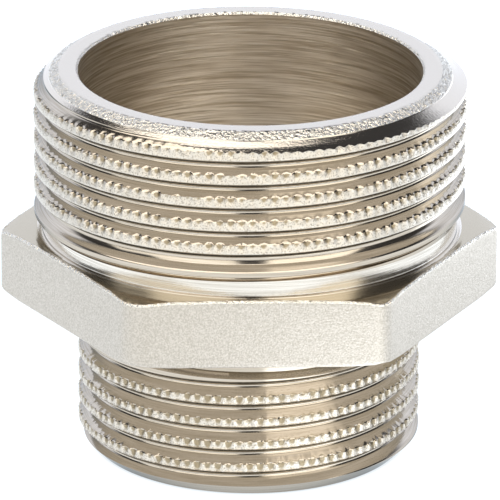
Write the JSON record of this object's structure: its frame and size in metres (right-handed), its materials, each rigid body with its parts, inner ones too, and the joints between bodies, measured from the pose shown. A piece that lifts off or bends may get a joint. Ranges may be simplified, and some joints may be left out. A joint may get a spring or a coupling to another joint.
{
  "type": "reducing hex nipple",
  "caption": "Reducing hex nipple: a wide and a narrow male pipe thread either side of a hexagon, with an open stepped bore and knurled thread crests.",
  "frame": {"origin": "middle of the narrow (lower) end face, on the bore's axis", "axes": "+Z along the bore's axis towards the wide thread; -Y is the outward normal of one wrench flat, so two corners of the hexagon lie on the X axis"},
  "size_m": [0.048, 0.042, 0.0378],
  "materials": {
    "nickel_plated_brass": "nickel plate over forged and turned brass"
  },
  "bodies": {
    "root": {"nipple_body": "nickel_plated_brass"}
  },
  "joints": []
}
